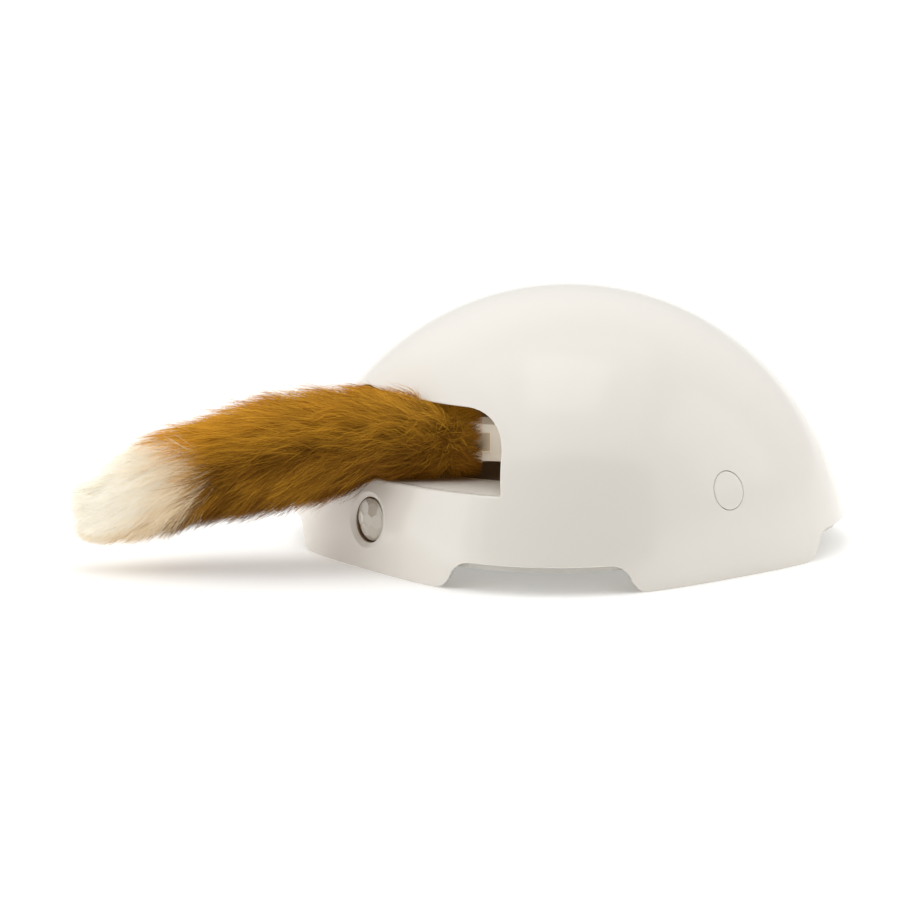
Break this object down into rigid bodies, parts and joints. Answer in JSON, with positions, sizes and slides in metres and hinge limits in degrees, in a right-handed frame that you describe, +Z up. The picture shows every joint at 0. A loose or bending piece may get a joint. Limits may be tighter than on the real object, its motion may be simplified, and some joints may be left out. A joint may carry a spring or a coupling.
{
  "type": "electronic hide-and-seek cat toy",
  "caption": "Dome-shaped cat toy on four moulded feet: a plush tail on a motor-driven arm sweeps out of a den opening and back, started by a motion sensor or a button.",
  "frame": {"origin": "on the dome's upright axis at table level, between the four feet", "axes": "+Z up along the dome's axis; -Y out of the den opening; +X out of the button's face"},
  "size_m": [0.2122, 0.3042, 0.1065],
  "materials": {
    "shell_white": "warm white gloss moulding",
    "den_white": "warm white satin moulding",
    "base_grey": "light grey fine texture",
    "disc_dark": "near-black satin",
    "lens_milk": "milky faceted sensor window",
    "steel": "bright screws and pins",
    "contact_nickel": "nickel plated",
    "cell_wrap": "plain dark sleeve",
    "board_green": "solder-masked laminate",
    "chip_black": "moulded component bodies",
    "gear_pom": "natural acetal",
    "case_grey": "gearbox moulding",
    "bush_brass": "sintered bush",
    "fur_brown": "long combed plush, brown",
    "fur_cream": "long combed plush, cream"
  },
  "bodies": {
    "base": {"dome_shell": "shell_white", "den_floor": "den_white", "base_cover": "base_grey", "base_screws": "steel", "door_pin": "steel", "batteries": "cell_wrap", "battery_contacts": "contact_nickel", "motion_lens": "lens_milk", "sensor_holder": "den_white", "motion_sensor": "steel", "sensor_board": "board_green", "tact_switch": "chip_black", "button_board": "board_green", "gear_motor_case": "case_grey", "motor": "steel", "motor_screws": "steel", "spindle_bush": "bush_brass", "main_board": "board_green", "board_parts": "chip_black"},
    "battery_door": {"battery_door": "base_grey"},
    "button": {"mode_button": "shell_white"},
    "arm": {"turntable_disc": "disc_dark", "output_gear": "gear_pom", "spindle": "steel", "tail_arm": "den_white", "arm_cap": "den_white", "arm_screws": "steel", "tail_pin": "steel"},
    "pinion": {"drive_pinion": "gear_pom"},
    "tail_root": {"tail_root": "fur_brown", "tail_plug": "den_white"},
    "tail_middle": {"tail_middle": "fur_brown"},
    "tail_bend": {"tail_bend": "fur_brown"},
    "tail_tip": {"tail_tip": "fur_cream"}
  },
  "joints": [
    {"name": "arm_turn", "type": "hinge", "parent": "base", "child": "arm", "pos_m": [0, 0, 0.0375], "axis": [0, 0, 1], "range_deg": [-20, 100]},
    {"name": "pinion_spin", "type": "hinge", "parent": "base", "child": "pinion", "pos_m": [-0.028, 0, 0.031], "axis": [0, 0, 1], "range_deg": [-301, 61]},
    {"name": "button_press", "type": "slide", "parent": "base", "child": "button", "axis": [-1, 0, 0], "range_m": [0, 0.001], "stiffness_N_per_m": 800},
    {"name": "door_swing", "type": "hinge", "parent": "base", "child": "battery_door", "pos_m": [0, 0.08982, 0.0097], "axis": [1, 0, 0], "range_deg": [0, 85]},
    {"name": "tail_swivel", "type": "hinge", "parent": "arm", "child": "tail_root", "pos_m": [0.02429, -0.06565, 0.05292], "axis": [0, 0, -1], "range_deg": [-19.67, 96.33]},
    {"name": "tail_bend_1", "type": "hinge", "parent": "tail_root", "child": "tail_middle", "pos_m": [-0.01641, -0.11888, 0.05292], "axis": [-0.4809, 0.3677, 0.7959], "range_deg": [-5.02, 23.11]},
    {"name": "tail_bend_2", "type": "hinge", "parent": "tail_middle", "child": "tail_bend", "pos_m": [-0.03657, -0.14524, 0.04766], "axis": [-0.1804, 0.1379, -0.9739], "range_deg": [-12.64, 61.22]},
    {"name": "tail_bend_3", "type": "hinge", "parent": "tail_bend", "child": "tail_tip", "pos_m": [-0.05586, -0.17048, 0.03672], "axis": [-0.2327, 0.1779, -0.9562], "range_deg": [-12.24, 59.19]}
  ],
  "couplings": [
    {"joint": "pinion_spin", "follows": "arm_turn", "ratio": -3},
    {"joint": "tail_swivel", "follows": "arm_turn", "ratio": 0.9583},
    {"joint": "tail_bend_1", "follows": "arm_turn", "ratio": 0.22615},
    {"joint": "tail_bend_2", "follows": "arm_turn", "ratio": 0.60717},
    {"joint": "tail_bend_3", "follows": "arm_turn", "ratio": 0.58694}
  ]
}
